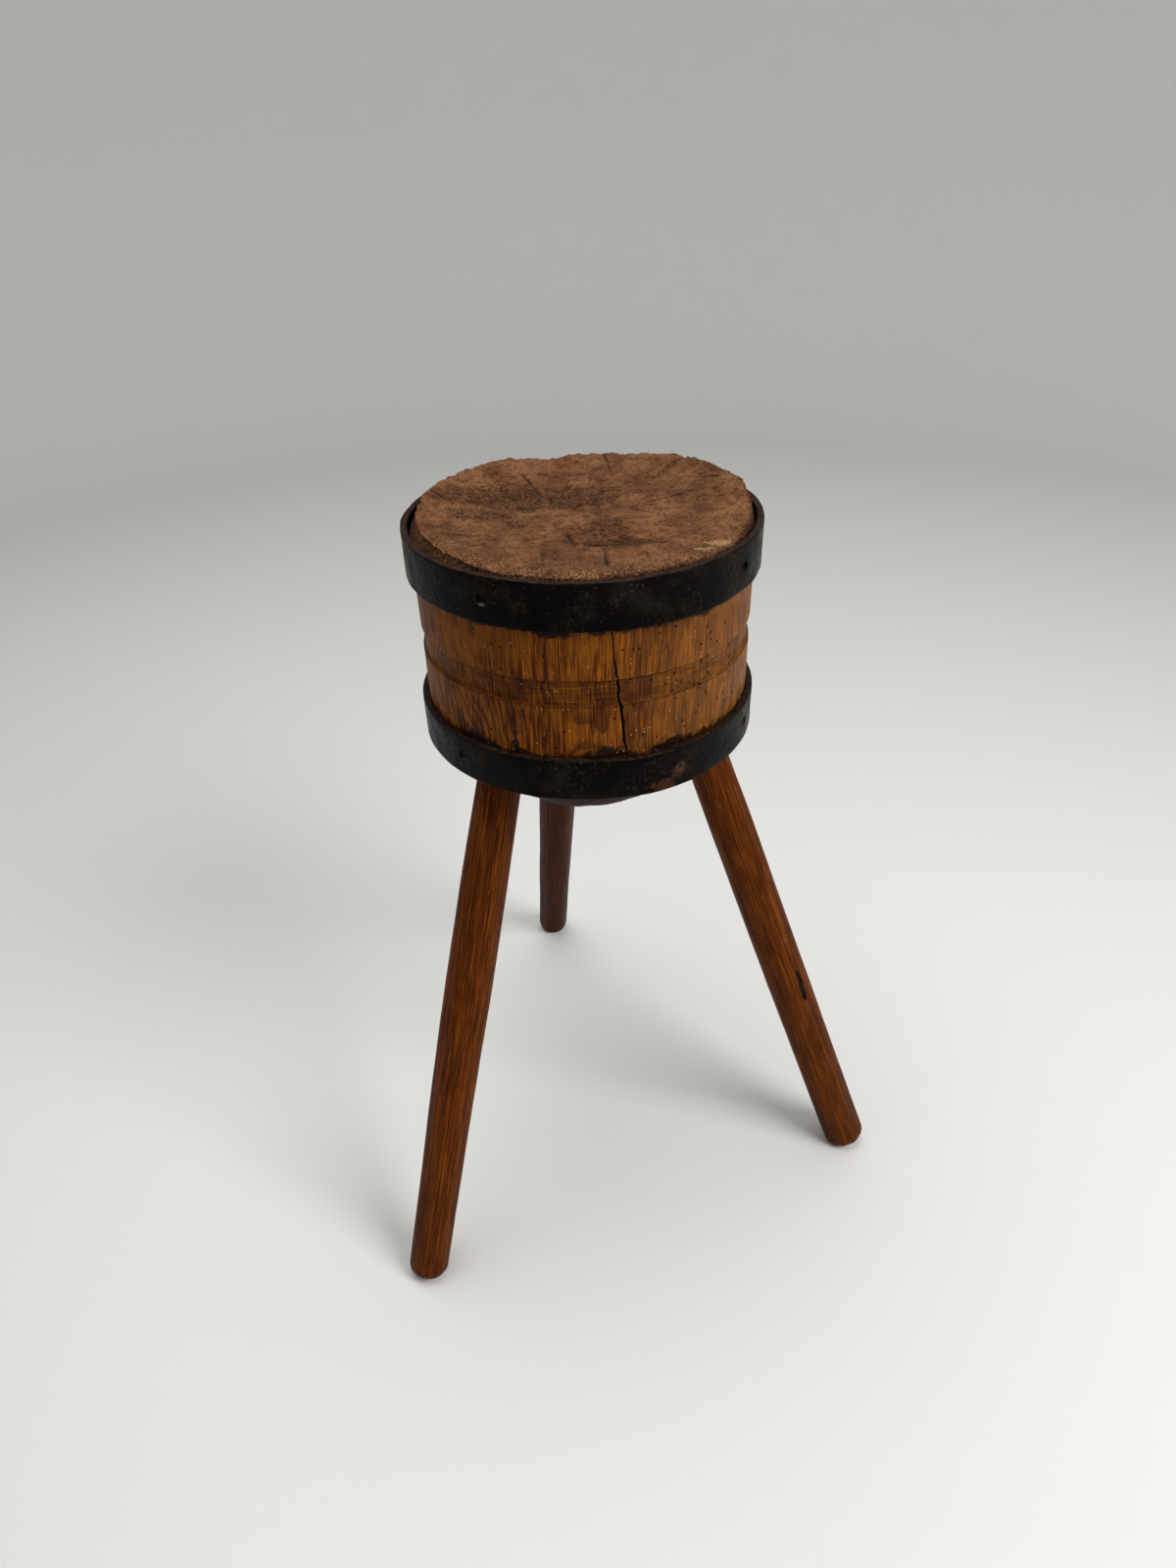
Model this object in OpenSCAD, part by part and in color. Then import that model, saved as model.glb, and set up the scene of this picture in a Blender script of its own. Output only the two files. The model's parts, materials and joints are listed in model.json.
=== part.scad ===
// Three-legged chopping block: a round end-grain block, bound by two forged iron hoops,
// on three splayed pole legs that are driven into blind sockets in its underside.
// Millimetres, +Z up. The floor is z = 0, and the origin is the middle of the footprint.
// The front is the -Y side. Azimuths are in degrees about the block's axis, from +X.

/* [Block] */
// Height of the underside over the floor
block_low = 520; // [420:5:600]
// Radius of the block under the upper hoop
block_r = 144.3; // [142:0.1:160]
// How much smaller the radius is under the lower hoop
block_taper = 2.5; // [0:0.1:4]
// Height of the middle of the working face over the upper hoop
face_rise = 6; // [6:0.5:12]
// Slope of the worn working face, which falls to the front
face_slope = 2.5; // [0:0.5:3]
// Radius of the working face, inside the worn edge
face_r = 138; // [132:1:140]
// Depth of the dish that chopping has worn in the face
dish_depth = 9; // [3:1:14]
// Radius of the dish's mouth
dish_r = 116; // [80:1:120]
// Distance of the block's axis from the middle of the footprint, to the right
block_x = -47.1; // [-60:0.1:60]
// Distance of the block's axis from the middle of the footprint, to the back
block_y = -42.7; // [-60:0.1:60]

/* [Turned band] */
// Height of the band's lower edge over the underside
band_low = 89; // [60:1:100]
// Width of the band
band_w = 22; // [10:1:40]
// Depth of the band
band_depth = 1.2; // [0.5:0.1:3]

/* [Drying crack] */
// Azimuth of the crack
crack_az = -80; // [-100:1:-60]
// Width of the crack at the surface
crack_w = 3; // [1:0.5:5]
// Depth of the crack
crack_depth = 45; // [10:1:70]
// Lean of the crack off the vertical
crack_lean = 2; // [0:0.5:4]

/* [Hoops] */
// Thickness of the hoop iron
hoop_t = 6; // [4:0.5:8]
// Width of the upper hoop
upper_hoop_h = 39.5; // [30:0.5:50]
// Width of the lower hoop
lower_hoop_h = 37; // [30:0.5:50]
// Height of the lower hoop over the underside
lower_hoop_rise = 5.5; // [3:0.5:12]
// Height of the upper hoop's upper edge over the underside
hoop_top_rise = 195; // [180:5:230]
// How far the outer end of a hoop stands proud at its lap
lap_step = 1.6; // [0.5:0.1:3]
// Length of the lap, as an angle
lap_angle = 23; // [12:1:40]
// Azimuth where the upper hoop's outer end stops
upper_lap_az = 122; // [90:1:150]
// Azimuth where the lower hoop's outer end stops
lower_lap_az = -56; // [-75:1:-45]

/* [Nails and rivets] */
// Radius of the nail holes through the hoops
nail_hole_r = 2.7; // [2.4:0.1:3]
// Radius of a nail's shank
nail_r = 2.2; // [1.5:0.1:2.3]
// Length of a nail
nail_len = 26; // [15:1:26]
// Radius of a nail's sunk head
nail_head_r = 3.8; // [3:0.1:4.2]
// Radius of a rivet's shank
rivet_r = 3.2; // [2:0.1:4]
// Radius of a rivet's head
rivet_head_r = 5.2; // [4.2:0.1:7]

/* [Legs] */
// Radius of the sockets, and of the legs where they enter them
socket_r = 19.05; // [16:0.05:22]
// Depth of the sockets along the leg
socket_depth = 80; // [50:1:100]
// Radius of the front left leg at its belly
front_left_belly_r = 22; // [20:0.1:25]
// Radius of the front left leg at the floor
front_left_foot_r = 19.5; // [17:0.1:25]
// Radius of the back leg at its belly
back_belly_r = 21.2; // [20:0.1:25]
// Radius of the back leg at the floor
back_foot_r = 18.6; // [17:0.1:25]
// Radius of the right leg at its belly
right_belly_r = 21.2; // [20:0.1:25]
// Radius of the right leg at the floor
right_foot_r = 21.6; // [17:0.1:25]
// Radius of the worn round on a foot
foot_round = 7; // [3:0.5:10]

/* [Hidden] */
$fn = 96;

// Where each leg's axis meets the underside and the floor, from the block's axis
front_left_top = [-76, -75, block_low];
front_left_foot = [-183, -223, 0];
right_top = [97, -26, block_low];
right_foot = [276, -73, 0];
back_top = [-24, 98, block_low];
back_foot = [-60.5, 310, 0];

// Azimuths of the hoops' nails, and of the holes whose nails are gone
upper_nail_left_az = -121;
upper_nail_back_left_az = 149;
upper_nail_back_right_az = 57;
upper_empty_az = -33;
lower_nail_left_az = -136;
lower_nail_back_az = 98;
lower_empty_az = -24;
upper_hole_azs = [upper_nail_left_az, upper_nail_back_left_az, upper_nail_back_right_az, upper_empty_az];
lower_hole_azs = [lower_nail_left_az, lower_nail_back_az, lower_empty_az];
upper_rivet_az = upper_lap_az - 4.5;
lower_rivet_az = lower_lap_az - 4.5;

hoop_top = block_low + hoop_top_rise;
upper_hoop_low = hoop_top - upper_hoop_h;
lower_hoop_low = block_low + lower_hoop_rise;
upper_mid = hoop_top - upper_hoop_h / 2;
lower_mid = lower_hoop_low + lower_hoop_h / 2;
lower_r = block_r - block_taper;
face_mid = hoop_top + face_rise;
slack = 0.05; // running clearance between pieces that touch
reach = 400; // longer than the block is wide, for cutters
sink = 1; // depth of a nail's head under the hoop's face

// Radius of the block's side at a height
function side_r(z) = lower_r + block_taper * (z - block_low) / hoop_top_rise;

module place() translate([block_x, block_y, 0]) children();

// Puts a shape that points along +X on the block's side, at an azimuth and a height
module on_side(az, z) rotate([0, 0, az]) translate([0, 0, z]) children();

// A radial hole or shank, from one radius out to another
module radial(r, inner, outer) {
    translate([inner, 0, 0])
        rotate([0, 90, 0]) cylinder(r = r, h = outer - inner, $fn = 32);
}

// Puts a shape that stands on the floor along a leg's axis, its foot at the floor
module along_leg(top, foot) {
    run = top - foot;
    lean = acos(run[2] / norm(run));
    translate(foot) rotate([0, lean, atan2(run[1], run[0])]) children();
}

module block_side() {
    band_z = block_low + band_low;
    edge = 6;
    rotate_extrude($fn = 180)
        polygon([
            [0, block_low],
            [side_r(block_low) - edge, block_low],
            [side_r(block_low), block_low + edge - 1],
            [side_r(band_z), band_z],
            [side_r(band_z) - band_depth, band_z + 1],
            [side_r(band_z + band_w) - band_depth, band_z + band_w - 1],
            [side_r(band_z + band_w), band_z + band_w],
            [side_r(hoop_top), hoop_top - edge - 4],
            [face_r + 1, hoop_top - 3],
            [face_r, hoop_top + 30],
            [0, hoop_top + 30]
        ]);
}

module worn_face() {
    ball_r = (pow(dish_r, 2) + pow(dish_depth, 2)) / (2 * dish_depth);
    translate([0, 0, face_mid]) rotate([face_slope, 0, 0]) {
        translate([-reach / 2, -reach / 2, 0]) cube([reach, reach, 60]);
        translate([0, 0, ball_r - dish_depth]) rotate([90, 0, 0]) sphere(r = ball_r, $fn = 240);
    }
}

module crack() {
    out = block_r + 5;
    low = lower_hoop_low + 10;
    tall = upper_hoop_low + 10 - low;
    on_side(crack_az, low) rotate([-crack_lean, 0, 0])
        linear_extrude(height = tall)
            polygon([[block_r - crack_depth, 0], [out, -crack_w / 2], [out, crack_w / 2]]);
}

module leg_socket(top, foot) {
    run = norm(top - foot);
    along_leg(top, foot) translate([0, 0, run - 30]) rotate([0, 0, 100])
        cylinder(r = socket_r, h = socket_depth + 30);
}

module nail_bores(azs, z) {
    tail = side_r(z) + hoop_t - sink - nail_len;
    for (az = azs)
        on_side(az, z) radial(nail_r + slack, tail - slack, block_r + 2);
}

module block() {
    color("peru") place() difference() {
        block_side();
        worn_face();
        crack();
        leg_socket(front_left_top, front_left_foot);
        leg_socket(right_top, right_foot);
        leg_socket(back_top, back_foot);
        nail_bores(upper_hole_azs, upper_mid);
        nail_bores(lower_hole_azs, lower_mid);
    }
}

// A flat iron strip bent round the block, with eased edges
module strip(low, tall) {
    ease = 1.2;
    high = low + tall;
    in_low = side_r(low) + slack;
    in_high = side_r(high) + slack;
    rotate_extrude($fn = 180)
        polygon([
            [in_low, low],
            [in_low + hoop_t - ease, low],
            [in_low + hoop_t, low + ease],
            [in_high + hoop_t, high - ease],
            [in_high + hoop_t - ease, high],
            [in_high, high]
        ]);
}

// The outer end of the strip rises out of the ring like a scarf and stops at the lap
module lap_end(low, tall, az) {
    shift = lap_step / sin(lap_angle);
    away = az - lap_angle + 90;
    sweep = 300;
    intersection() {
        translate([shift * cos(away), shift * sin(away), 0]) strip(low, tall);
        rotate([0, 0, az - lap_angle]) translate([0, 0, low - 1])
            linear_extrude(height = tall + 2)
                polygon([[block_r, 0], [sweep, 0], [sweep * cos(lap_angle), sweep * sin(lap_angle)],
                    [block_r * cos(lap_angle), block_r * sin(lap_angle)]]);
    }
}

module nail_hole(z) {
    mouth_r = nail_head_r + 0.8;
    face = side_r(z) + hoop_t;
    depth = 2 + sink;
    radial(nail_hole_r, block_r - 10, face + 3);
    translate([face - depth, 0, 0]) rotate([0, 90, 0])
        cylinder(r1 = nail_hole_r, r2 = mouth_r, h = depth + 0.01, $fn = 32);
}

module hoop(low, tall, lap_az, rivet_az, hole_azs) {
    mid = low + tall / 2;
    difference() {
        union() {
            strip(low, tall);
            lap_end(low, tall, lap_az);
        }
        on_side(rivet_az, mid) radial(rivet_r + slack, block_r - 10, block_r + 20);
        for (az = hole_azs) on_side(az, mid) nail_hole(mid);
    }
}

module upper_hoop() {
    color("#241f1c") place()
        hoop(upper_hoop_low, upper_hoop_h, upper_lap_az, upper_rivet_az, upper_hole_azs);
}

module lower_hoop() {
    color("#241f1c") place()
        hoop(lower_hoop_low, lower_hoop_h, lower_lap_az, lower_rivet_az, lower_hole_azs);
}

// A riven pole: straight in its socket, with a belly, and trimmed flat at the floor
module leg(top, foot, belly_r, foot_r) {
    run = norm(top - foot);
    tip = run + socket_depth - 2;
    past = 5;
    in_socket_r = socket_r - slack;
    color("sienna") place() difference() {
        along_leg(top, foot) rotate([0, 0, 100]) rotate_extrude()
            polygon([
                [0, -past],
                [foot_r - foot_round, -past],
                for (a = [-75:15:0])
                    [foot_r - foot_round + foot_round * cos(a), -past + foot_round + foot_round * sin(a)],
                [belly_r - 0.2, run * 0.5],
                [belly_r, run * 0.6],
                [belly_r - 0.2, run * 0.7],
                [in_socket_r, run - 12],
                [in_socket_r, tip - 2],
                [in_socket_r - 2, tip],
                [0, tip]
            ]);
        translate(foot + [-60, -60, -60]) cube([120, 120, 60]);
    }
}

module leg_front_left() leg(front_left_top, front_left_foot, front_left_belly_r, front_left_foot_r);

module leg_right() leg(right_top, right_foot, right_belly_r, right_foot_r);

module leg_back() leg(back_top, back_foot, back_belly_r, back_foot_r);

// A forged nail, its head sunk in the hoop's flared hole
module nail(az, z) {
    head_t = 2;
    face = side_r(z) + hoop_t - sink;
    point = 8;
    tail = face - nail_len;
    color("#3a302a") place() on_side(az, z) {
        translate([face - head_t, 0, 0]) rotate([0, 90, 0])
            cylinder(r1 = nail_r, r2 = nail_head_r, h = head_t, $fn = 32);
        radial(nail_r, tail + point, face - head_t);
        translate([tail, 0, 0]) rotate([0, 90, 0]) cylinder(r1 = 0.4, r2 = nail_r, h = point, $fn = 32);
    }
}

module upper_nail_left() nail(upper_nail_left_az, upper_mid);

module upper_nail_back_left() nail(upper_nail_back_left_az, upper_mid);

module upper_nail_back_right() nail(upper_nail_back_right_az, upper_mid);

module lower_nail_left() nail(lower_nail_left_az, lower_mid);

module lower_nail_back() nail(lower_nail_back_az, lower_mid);

// A rivet through both thicknesses of the lap, with a low hammered head
module rivet(az, z) {
    dome = 1.6;
    face = side_r(z) + hoop_t + lap_step;
    ball_r = (pow(rivet_head_r, 2) + pow(dome, 2)) / (2 * dome);
    color("#4a3831") place() on_side(az, z) {
        radial(rivet_r, side_r(z) + 1, face + 0.2);
        translate([face - 0.05, 0, 0]) rotate([0, 90, 0])
            rotate_extrude($fn = 48)
                polygon([
                    [0, 0],
                    for (i = [0:6])
                        let (a = asin(rivet_head_r / ball_r) * (1 - i / 6))
                            [ball_r * sin(a), ball_r * cos(a) - ball_r + dome]
                ]);
    }
}

module upper_hoop_rivet() rivet(upper_rivet_az, upper_mid);

module lower_hoop_rivet() rivet(lower_rivet_az, lower_mid);

block();
upper_hoop();
lower_hoop();
leg_front_left();
leg_right();
leg_back();
upper_nail_left();
upper_nail_back_left();
upper_nail_back_right();
lower_nail_left();
lower_nail_back();
upper_hoop_rivet();
lower_hoop_rivet();
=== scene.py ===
import json
import math
from collections import Counter

import bpy
from mathutils import Matrix, Vector, noise


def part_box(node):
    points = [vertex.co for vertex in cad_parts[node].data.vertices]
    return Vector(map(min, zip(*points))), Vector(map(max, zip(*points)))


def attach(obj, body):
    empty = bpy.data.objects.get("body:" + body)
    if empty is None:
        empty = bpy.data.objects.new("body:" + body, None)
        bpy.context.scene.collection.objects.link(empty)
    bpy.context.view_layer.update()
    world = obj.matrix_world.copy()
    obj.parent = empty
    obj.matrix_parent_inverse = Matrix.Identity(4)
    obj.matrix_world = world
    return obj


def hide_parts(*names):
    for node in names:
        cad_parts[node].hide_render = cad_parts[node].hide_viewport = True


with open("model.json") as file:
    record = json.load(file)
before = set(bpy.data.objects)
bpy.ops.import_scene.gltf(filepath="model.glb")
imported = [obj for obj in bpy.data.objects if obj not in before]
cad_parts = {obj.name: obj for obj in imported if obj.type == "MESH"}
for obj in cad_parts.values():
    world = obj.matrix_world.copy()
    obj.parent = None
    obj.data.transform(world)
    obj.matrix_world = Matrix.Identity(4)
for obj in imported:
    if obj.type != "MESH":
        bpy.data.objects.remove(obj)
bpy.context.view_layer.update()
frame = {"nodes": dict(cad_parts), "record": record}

# A three-legged butcher's chopping block: a worn end-grain block in two forged hoops, on pole legs.
# Shapes are worked out in millimetres about the block's axis, then put in place in metres.

mm = 0.001

blockLow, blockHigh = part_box("block")
upperLow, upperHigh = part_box("upper_hoop")
lowerLow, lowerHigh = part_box("lower_hoop")
axis = Vector(((blockLow[0] + blockHigh[0]) / 2, (blockLow[1] + blockHigh[1]) / 2, 0))
underside = blockLow[2] / mm  # heights over the floor, in millimetres
upperTop = upperHigh[2] / mm
upperBottom = upperLow[2] / mm
lowerTop = lowerHigh[2] / mm
lowerBottom = lowerLow[2] / mm


def sideRadius(z):  # the block's side tapers a little to its foot
    return block["footRadius"] + block["taper"] * (z - underside) / (upperTop - underside)


def editMode():
    bpy.ops.object.mode_set(mode="EDIT")


def objectMode():
    bpy.ops.object.mode_set(mode="OBJECT")


def selectMesh(action):  # in edit mode
    bpy.ops.mesh.select_all(action=action)


def deselectAll():
    if bpy.context.object and bpy.context.object.mode != "OBJECT":
        objectMode()
    bpy.ops.object.select_all(action="DESELECT")


def newPiece(name):  # the object that an operator has just added
    piece = bpy.context.object
    piece.name = name
    piece.data.name = name
    return piece


def makeActive(piece):
    deselectAll()
    piece.select_set(True)
    bpy.context.view_layer.objects.active = piece


def pickEdges(piece, test):  # leaves edit mode on, with only these edges selected
    makeActive(piece)
    editMode()
    bpy.ops.mesh.select_mode(type="EDGE")
    selectMesh("DESELECT")
    objectMode()
    verts = piece.data.vertices
    for edge in piece.data.edges:
        edge.select = test(verts[edge.vertices[0]].co, verts[edge.vertices[1]].co)
    editMode()


def pickFaces(piece, test):  # the same for faces
    makeActive(piece)
    editMode()
    bpy.ops.mesh.select_mode(type="FACE")
    selectMesh("DESELECT")
    objectMode()
    for face in piece.data.polygons:
        face.select = test(face)
    editMode()


def extrudeDown(drop, scale=None, height=0.0):  # of what is selected, and scaled about the Z axis
    bpy.ops.mesh.extrude_region_move(TRANSFORM_OT_translate={"value": (0, 0, -drop)})
    if scale is not None:
        bpy.ops.transform.resize(value=(scale, scale, 1), center_override=(0, 0, height))


def applyModifier(piece, kind, **settings):
    makeActive(piece)
    modifier = piece.modifiers.new(kind.title(), kind)
    for key, value in settings.items():
        setattr(modifier, key, value)
    bpy.ops.object.modifier_apply(modifier=modifier.name)


def fixNormals(piece, merge=0.001):
    makeActive(piece)
    editMode()
    selectMesh("SELECT")
    bpy.ops.mesh.remove_doubles(threshold=merge)
    bpy.ops.mesh.normals_make_consistent(inside=False)
    objectMode()


def joinPieces(pieces):
    makeActive(pieces[0])
    for piece in pieces[1:]:
        piece.select_set(True)
    if len(pieces) > 1:
        bpy.ops.object.join()
    return pieces[0]


def dropFaces(piece, isStray):  # faces back to back, or on no more than one neighbour, enclose nothing
    faces = piece.data.polygons
    corners = Counter(frozenset(face.vertices) for face in faces)
    sides = Counter(key for face in faces for key in face.edge_keys)
    pickFaces(piece, lambda face: isStray(face, corners, sides))
    bpy.ops.mesh.delete(type="ONLY_FACE")
    selectMesh("SELECT")
    bpy.ops.mesh.delete_loose(use_verts=True, use_edges=True, use_faces=False)
    selectMesh("DESELECT")
    objectMode()


def cutAway(piece, cutters):  # cuts these shapes out of a piece, and clears them away
    cutter = joinPieces(cutters)
    applyModifier(piece, "BOOLEAN", object=cutter, operation="DIFFERENCE", solver="EXACT")
    bpy.data.objects.remove(cutter, do_unlink=True)
    makeActive(piece)
    editMode()
    selectMesh("SELECT")
    bpy.ops.mesh.dissolve_degenerate(threshold=0.002)  # slivers that the cut leaves
    bpy.ops.mesh.select_mode(type="FACE")
    selectMesh("DESELECT")
    bpy.ops.mesh.select_face_by_sides(number=4, type="GREATER")
    bpy.ops.mesh.quads_convert_to_tris(ngon_method="BEAUTY")
    selectMesh("DESELECT")
    objectMode()
    dropFaces(piece, lambda face, corners, sides: corners[frozenset(face.vertices)] > 1)
    dropFaces(piece, lambda face, corners, sides: sum(sides[key] == 1 for key in face.edge_keys) > 1)


def smoothstep(low, high, x):
    t = min(max((x - low) / (high - low), 0.0), 1.0)
    return t * t * (3 - 2 * t)


def mix(a, b, t):
    return a + (b - a) * t


def wrap(angle):  # degrees to -180..180
    return (angle + 180) % 360 - 180


def around(stops, where):  # eases between (place, value) stops
    for (a, va), (b, vb) in zip(stops, stops[1:]):
        if a <= where <= b:
            return mix(va, vb, smoothstep(a, b, where))
    return stops[-1][1] if where > stops[-1][0] else stops[0][1]


def lumps(x, y, z, size, seed=0.0):  # smooth noise, -1..1, with lumps about size mm across
    return noise.noise(Vector((x / size + seed, y / size - seed, z / size + 3 * seed)))


def fractal(x, y, size, seed):  # the same with finer lumps on it
    return noise.fractal(Vector((x / size + seed, y / size - seed, 3 * seed)), 0.8, 2.0, 3)


def onCircle(azimuth, radius):  # azimuths are in degrees
    turn = math.radians(azimuth)
    return radius * math.cos(turn), radius * math.sin(turn)


def onSide(azimuth, radius, z):
    return Vector((*onCircle(azimuth, radius), z))


def aimed(place, towards):  # the turn and move that stand a piece's Z along an axis
    return Matrix.Translation(place) @ towards.to_track_quat("Z", "Y").to_matrix().to_4x4()


def azimuthOf(x, y):
    return math.degrees(math.atan2(y, x))


def makeTube(name, sides, rows):  # a unit cylinder along Z, with rows of columns up its side
    deselectAll()
    bpy.ops.mesh.primitive_cylinder_add(vertices=sides, radius=1, depth=1)
    piece = newPiece(name)
    pickEdges(piece, lambda a, b: abs(a.z - b.z) > 0.5)
    bpy.ops.mesh.subdivide(number_cuts=rows - 1)
    objectMode()
    return piece


def placeOnBlock(piece):  # millimetres about the block's axis, to metres in the frame
    piece.data.transform(Matrix.Translation(axis) @ Matrix.Scale(mm, 4))
    piece.data.update()


def finishPiece(piece, node, materials, angle=50):
    makeActive(piece)
    bpy.ops.object.shade_smooth_by_angle(angle=math.radians(angle))
    slots = piece.data.materials
    while len(slots) < len(materials):
        slots.append(None)
    for i, material in enumerate(materials):  # clearing the slots would lose which face has which
        slots[i] = material
    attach(piece, "root")
    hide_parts(node)


def feed(tree, sockets, values):  # links these sockets, or sets them
    for key, value in values.items():
        if isinstance(value, bpy.types.NodeSocket):
            tree.links.new(value, sockets[key])
        else:
            sockets[key].default_value = value


def addNode(tree, kind, inputs=None, **settings):
    made = tree.nodes.new(kind)
    for key, value in settings.items():
        setattr(made, key, value)
    feed(tree, made.inputs, inputs or {})
    return made


def mathNode(tree, operation, a, b=0.0, c=0.0, clamp=False):
    made = addNode(tree, "ShaderNodeMath", {0: a, 1: b, 2: c}, operation=operation, use_clamp=clamp)
    return made.outputs[0]


def times(tree, a, b):
    return mathNode(tree, "MULTIPLY", a, b)


def timesPlus(tree, a, b, c):
    return mathNode(tree, "MULTIPLY_ADD", a, b, c)


def strongest(tree, masks):  # the greatest of several masks
    best = masks[0]
    for mask in masks[1:]:
        best = mathNode(tree, "MAXIMUM", best, mask)
    return best


def vectorNode(tree, operation, a, b=(0, 0, 0)):
    made = addNode(tree, "ShaderNodeVectorMath", {0: a, 1: b}, operation=operation)
    return made.outputs["Value"] if operation in ("DOT_PRODUCT", "LENGTH") else made.outputs[0]


def scaled(tree, vector, by):
    return vectorNode(tree, "MULTIPLY", vector, by)


def noiseNode(tree, vector, scale, detail=3.0, rough=0.55):
    return addNode(tree, "ShaderNodeTexNoise", {
        "Vector": vector, "Scale": scale, "Detail": detail, "Roughness": rough,
    }).outputs["Fac"]


def swayNode(tree, vector, scale, detail):  # noise as a vector, -0.5..0.5 each way
    made = addNode(tree, "ShaderNodeTexNoise", {"Vector": vector, "Scale": scale, "Detail": detail})
    return vectorNode(tree, "SUBTRACT", made.outputs["Color"], (0.5, 0.5, 0.5))


def stretchNode(tree, vector, turn, scale):  # turns a pattern about Z, then stretches it
    return addNode(tree, "ShaderNodeMapping", {
        "Vector": vector, "Rotation": (0, 0, math.radians(turn)), "Scale": scale,
    }).outputs[0]


def rangeNode(tree, value, low, high, outLow=0.0, outHigh=1.0):
    return addNode(tree, "ShaderNodeMapRange", {
        "Value": value, "From Min": low, "From Max": high, "To Min": outLow, "To Max": outHigh,
    }, interpolation_type="SMOOTHSTEP").outputs["Result"]


def layers(tree, colour, coats):  # coats are (mask, its share, paint), each over the ones before
    for mask, share, paint in coats:
        inputs = {"Factor": mask if share == 1 else times(tree, mask, share), 6: colour, 7: (*paint, 1)}
        colour = addNode(tree, "ShaderNodeMix", inputs, data_type="RGBA").outputs[2]
    return colour


def rampNode(tree, factor, stops):  # stops are (position, colour)
    made = addNode(tree, "ShaderNodeValToRGB", {"Fac": factor})
    elements = made.color_ramp.elements
    while len(elements) < len(stops):
        elements.new(0.5)
    for element, (position, colour) in zip(elements, stops):
        element.position = position
        element.color = (*colour, 1)
    return made.outputs["Color"]


def newGroup(name, inputs, outputs):  # inputs are (name, socket kind, value), outputs lack the value
    tree = bpy.data.node_groups.new(name, "ShaderNodeTree")
    for title, kind, value in inputs:
        socket = tree.interface.new_socket(title, in_out="INPUT", socket_type="NodeSocket" + kind)
        socket.default_value = value
    for title, kind in outputs:
        tree.interface.new_socket(title, in_out="OUTPUT", socket_type="NodeSocket" + kind)
    return tree, tree.nodes.new("NodeGroupInput").outputs, tree.nodes.new("NodeGroupOutput").inputs


def placeGroup(tree, group, inputs):
    return addNode(tree, "ShaderNodeGroup", inputs, node_tree=group).outputs


def newMaterial(name):
    material = bpy.data.materials.new(name)
    material.use_nodes = True
    tree = material.node_tree
    return material, tree, tree.nodes["Principled BSDF"].inputs


def blockPoint(tree):  # object coordinates about the block's axis, at the upper hoop's top
    where = addNode(tree, "ShaderNodeTexCoord").outputs["Object"]
    return addNode(tree, "ShaderNodeMapping", {
        "Vector": where, "Location": (-axis.x, -axis.y, -upperTop * mm),
    }).outputs[0]


def bumpNode(tree, height, distance):
    return addNode(tree, "ShaderNodeBump", {"Height": height, "Distance": distance}).outputs["Normal"]


def pointParts(tree, vector):  # a vector's X, Y and Z
    return addNode(tree, "ShaderNodeSeparateXYZ", {"Vector": vector}).outputs


def spotMasks(tree, vector, spots, ragged):  # the strongest of several soft ragged patches
    return strongest(tree, [placeGroup(tree, softSpot, {
        "Vector": vector, "Centre": tuple(v * mm for v in centre),
        "Size": tuple(v * mm for v in size), "Ragged": ragged,
    })["Mask"] for centre, size in spots])


def makeGrainGroup():  # long fibres along Z, with slow figure like the rings a saw cuts through
    tree, given, out = newGroup("woodGrain", [
        ("Vector", "Vector", (0, 0, 0)), ("Fibre Scale", "Float", 300.0), ("Stretch", "Float", 0.05),
        ("Figure Scale", "Float", 14.0), ("Rings", "Float", 9.0), ("Sway", "Vector", (0.02, 0.02, 0)),
    ], [("Fibre", "Float"), ("Figure", "Float"), ("Pores", "Float")])
    stretch = addNode(tree, "ShaderNodeCombineXYZ", {"X": 1.0, "Y": 1.0, "Z": given["Stretch"]})
    sway = swayNode(tree, given["Vector"], 9.0, 2.0)
    bent = vectorNode(tree, "ADD", given["Vector"], scaled(tree, sway, given["Sway"]))
    along = scaled(tree, bent, stretch.outputs[0])
    tree.links.new(noiseNode(tree, along, given["Fibre Scale"], 5.0, 0.65), out["Fibre"])
    slow = scaled(tree, bent, (1, 1, 0.3))
    rings = times(tree, noiseNode(tree, slow, given["Figure Scale"], 2.0, 0.45), given["Rings"])
    rings = mathNode(tree, "FRACT", rings)
    line = times(tree, rangeNode(tree, rings, 0.35, 0.86), rangeNode(tree, rings, 0.9, 1.0, 1.0, 0.0))
    tree.links.new(line, out["Figure"])
    fine = noiseNode(tree, along, times(tree, given["Fibre Scale"], 2.6), 2.0, 0.5)
    tree.links.new(rangeNode(tree, fine, 0.6, 0.72), out["Pores"])
    return tree


def makeHolesGroup():  # scattered round holes, such as worm holes
    tree, given, out = newGroup("scatteredHoles", [
        ("Vector", "Vector", (0, 0, 0)), ("Scale", "Float", 120.0), ("Radius", "Float", 0.1),
        ("Amount", "Float", 0.5),
    ], [("Mask", "Float")])
    cells = addNode(tree, "ShaderNodeTexVoronoi", {"Vector": given["Vector"], "Scale": given["Scale"]})
    shade = addNode(tree, "ShaderNodeSeparateColor", {"Color": cells.outputs["Color"]}).outputs[0]
    chosen = mathNode(tree, "LESS_THAN", shade, given["Amount"])
    low = times(tree, given["Radius"], 0.6)
    hole = rangeNode(tree, cells.outputs["Distance"], low, given["Radius"], 1.0, 0.0)
    tree.links.new(times(tree, hole, chosen), out["Mask"])
    return tree


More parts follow.
